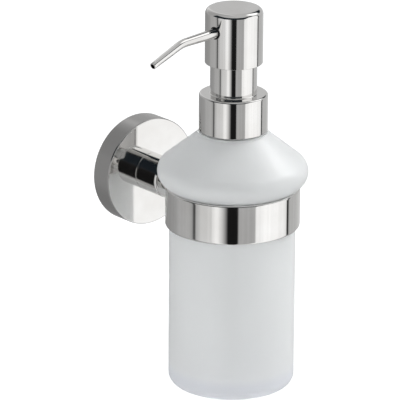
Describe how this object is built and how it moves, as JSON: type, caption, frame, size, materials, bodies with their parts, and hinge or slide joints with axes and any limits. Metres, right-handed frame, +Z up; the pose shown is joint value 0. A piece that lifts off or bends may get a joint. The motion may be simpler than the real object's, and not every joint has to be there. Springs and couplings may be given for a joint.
{
  "type": "wall mounted soap dispenser",
  "caption": "Wall mounted soap dispenser: a frosted glass bottle hangs in a polished steel ring on a round wall rosette, with a press-down lotion pump and a thin turning spout.",
  "frame": {"origin": "centre of the rosette's back, on the wall, midway between the two wall screw holes", "axes": "+Y into the wall, +Z up along the bottle, +X to the right seen from the room"},
  "size_m": [0.0941, 0.1113, 0.1911],
  "materials": {
    "polished_steel": "mirror polished stainless steel",
    "plain_steel": "turned, unpolished",
    "frosted_glass": "acid etched, satin",
    "white_plastic": "moulded polypropylene",
    "dark_rubber": "soft seal"
  },
  "bodies": {
    "holder": {"wall_bracket": "plain_steel", "rosette_cover": "polished_steel", "grub_screw": "plain_steel", "arm_bolt": "plain_steel", "arm_post": "polished_steel", "arm_neck": "polished_steel", "ring_band": "polished_steel"},
    "bottle": {"glass_bottle": "frosted_glass"},
    "pump": {"neck_gasket": "dark_rubber", "pump_housing": "white_plastic", "stem_guide": "white_plastic", "ball_cage": "white_plastic", "piston_spring": "plain_steel", "dip_tube": "white_plastic"},
    "closure": {"collar_shell": "polished_steel", "closure_insert": "white_plastic"},
    "plunger": {"pump_piston": "white_plastic", "pump_stem": "white_plastic"},
    "head": {"head_shell": "polished_steel", "head_lining": "white_plastic", "spout_tube": "polished_steel", "spout_seal": "dark_rubber"},
    "inlet_valve": {"inlet_ball": "plain_steel"},
    "outlet_valve": {"outlet_ball": "plain_steel"}
  },
  "joints": [
    {"name": "bottle_lift", "type": "slide", "parent": "holder", "child": "bottle", "axis": [0, 0, 1], "range_m": [0, 0.11]},
    {"name": "pump_lift", "type": "slide", "parent": "bottle", "child": "pump", "axis": [0, 0, 1], "range_m": [0, 0.14]},
    {"name": "closure_turn", "type": "hinge", "parent": "pump", "child": "closure", "pos_m": [0, -0.0747, 0], "axis": [0, 0, 1], "range_deg": [0, 540]},
    {"name": "pump_press", "type": "slide", "parent": "pump", "child": "plunger", "axis": [0, 0, -1], "range_m": [0, 0.012], "stiffness_N_per_m": 700, "springref_m": -0.007, "deforming": ["piston_spring"]},
    {"name": "head_turn", "type": "hinge", "parent": "plunger", "child": "head", "pos_m": [0, -0.0747, 0], "axis": [0, 0, 1], "continuous": true},
    {"name": "inlet_valve_lift", "type": "slide", "parent": "pump", "child": "inlet_valve", "axis": [0, 0, 1], "range_m": [0, 0.001]},
    {"name": "outlet_valve_lift", "type": "slide", "parent": "plunger", "child": "outlet_valve", "axis": [0, 0, 1], "range_m": [0, 0.0015]}
  ]
}
